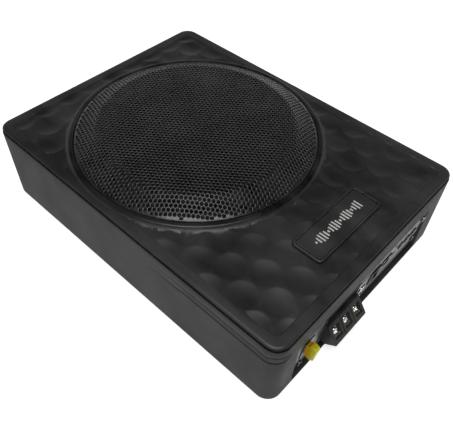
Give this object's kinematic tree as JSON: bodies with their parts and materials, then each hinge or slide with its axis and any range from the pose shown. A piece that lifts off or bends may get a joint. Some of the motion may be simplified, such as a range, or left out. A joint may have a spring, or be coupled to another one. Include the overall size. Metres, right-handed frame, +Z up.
{
  "type": "powered car subwoofer",
  "caption": "Shallow under-seat amplified car subwoofer: dimpled black cover, round perforated grille over a driver, dark grey tub with a connector panel at one end.",
  "frame": {"origin": "centre of the rectangle of bracket holes, on the plane that the rubber pads rest on, under the middle of the body", "axes": "+X along the body towards the connector panel, +Y across it, +Z up out of the grille"},
  "size_m": [0.353, 0.25, 0.0954],
  "materials": {
    "base_plastic": "fine moulded grain, satin dark grey",
    "cover_plastic": "fine moulded grain, satin black",
    "badge_black": "satin black",
    "badge_face": "brushed satin black",
    "grille_steel": "powder-coated perforated steel",
    "felt": "black felt",
    "seal_foam": "black closed-cell foam",
    "pad_rubber": "matt black rubber",
    "insert_brass": "machined brass",
    "screw_black": "blackened steel",
    "basket_steel": "black enamelled pressed steel",
    "roll_rubber": "soft black rubber",
    "cone_poly": "woven polypropylene, black",
    "cap_poly": "smooth black",
    "former_aluminium": "thin foil",
    "copper_wire": "enamelled copper",
    "spider_cloth": "resin-stiffened cotton",
    "motor_steel": "zinc-plated steel",
    "ferrite": "sintered ferrite",
    "tab_board": "phenolic board with tinned tabs",
    "panel_plastic": "fine moulded grain, dark grey",
    "panel_screw_steel": "black zinc-plated steel",
    "terminal_plastic": "moulded black",
    "terminal_metal": "tinned brass",
    "fuse_yellow": "translucent yellow plastic with tinned blades",
    "rca_metal": "nickel-plated",
    "rca_white": "glossy white",
    "rca_red": "glossy red",
    "socket_plastic": "moulded black",
    "contact_metal": "plated contacts",
    "switch_shell": "tinned sheet steel",
    "switch_black": "moulded black",
    "pot_body": "moulded green",
    "knob_plastic": "moulded dark grey",
    "lamp_lens": "clear red lens",
    "board_laminate": "solder-masked laminate",
    "board_screw_steel": "zinc-plated steel",
    "sink_aluminium": "extruded aluminium",
    "transistor_epoxy": "moulded epoxy",
    "capacitor_sleeve": "shrunk plastic sleeve",
    "choke_copper": "copper winding on a ring core",
    "lead_pvc": "soft insulated wire"
  },
  "bodies": {
    "housing": {"base_shell": "base_plastic", "foot_pads": "pad_rubber", "bracket_inserts": "insert_brass", "top_cover": "cover_plastic", "cover_seal": "seal_foam", "cover_screws": "screw_black", "grille": "grille_steel", "grille_felt": "felt", "badge_plate": "badge_black", "badge_inlay": "badge_face", "driver_basket": "basket_steel", "driver_gasket": "seal_foam", "driver_screws": "screw_black", "surround": "roll_rubber", "spider": "spider_cloth", "top_plate": "motor_steel", "magnet": "ferrite", "yoke": "motor_steel", "driver_tabs": "tab_board", "control_panel": "panel_plastic", "panel_gasket": "seal_foam", "panel_screws": "panel_screw_steel", "terminal_block": "terminal_plastic", "terminal_clamps": "terminal_metal", "fuse_holder": "socket_plastic", "rca_block": "socket_plastic", "rca_barrels": "rca_metal", "rca_insert_left": "rca_white", "rca_insert_right": "rca_red", "speaker_socket": "socket_plastic", "socket_pins": "contact_metal", "remote_port": "socket_plastic", "slide_switch": "switch_shell", "pots": "pot_body", "power_lamp": "lamp_lens", "circuit_board": "board_laminate", "board_screws": "board_screw_steel", "heat_sink": "sink_aluminium", "power_transistors": "transistor_epoxy", "capacitors": "capacitor_sleeve", "choke": "choke_copper", "speaker_leads": "lead_pvc"},
    "cone_assembly": {"cone": "cone_poly", "dust_cap": "cap_poly", "coil_former": "former_aluminium", "coil_winding": "copper_wire"},
    "fuse": {"fuse": "fuse_yellow"},
    "switch_slider": {"switch_slider": "switch_black"},
    "gain_knob": {"gain_knob": "knob_plastic"},
    "crossover_knob": {"crossover_knob": "knob_plastic"},
    "boost_knob": {"boost_knob": "knob_plastic"},
    "power_screw": {"terminal_screw_power": "terminal_metal"},
    "remote_screw": {"terminal_screw_remote": "terminal_metal"},
    "ground_screw": {"terminal_screw_ground": "terminal_metal"}
  },
  "joints": [
    {"name": "cone_stroke", "type": "slide", "parent": "housing", "child": "cone_assembly", "axis": [0, 0, 1], "range_m": [-0.006, 0.006], "stiffness_N_per_m": 2600, "deforming": ["surround", "spider"]},
    {"name": "fuse_pull", "type": "slide", "parent": "housing", "child": "fuse", "axis": [0.9971, 0, -0.0767], "range_m": [0, 0.02]},
    {"name": "phase_switch", "type": "slide", "parent": "housing", "child": "switch_slider", "axis": [0, 1, 0], "range_m": [0, 0.003]},
    {"name": "gain_turn", "type": "hinge", "parent": "housing", "child": "gain_knob", "pos_m": [0.16846, 0.0555, 0.0379], "axis": [0.9971, 0, -0.0767], "range_deg": [-150, 150]},
    {"name": "crossover_turn", "type": "hinge", "parent": "housing", "child": "crossover_knob", "pos_m": [0.16846, 0.0665, 0.0379], "axis": [0.9971, 0, -0.0767], "range_deg": [-150, 150]},
    {"name": "boost_turn", "type": "hinge", "parent": "housing", "child": "boost_knob", "pos_m": [0.16846, 0.0775, 0.0379], "axis": [0.9971, 0, -0.0767], "range_deg": [-150, 150]},
    {"name": "power_screw_turn", "type": "hinge", "parent": "housing", "child": "power_screw", "pos_m": [0.177, -0.0514, 0.0318], "axis": [0.8173, 0, 0.5763], "range_deg": [0, 720]},
    {"name": "remote_screw_turn", "type": "hinge", "parent": "housing", "child": "remote_screw", "pos_m": [0.177, -0.0373, 0.0318], "axis": [0.8173, 0, 0.5763], "range_deg": [0, 720]},
    {"name": "ground_screw_turn", "type": "hinge", "parent": "housing", "child": "ground_screw", "pos_m": [0.177, -0.0232, 0.0318], "axis": [0.8173, 0, 0.5763], "range_deg": [0, 720]}
  ]
}
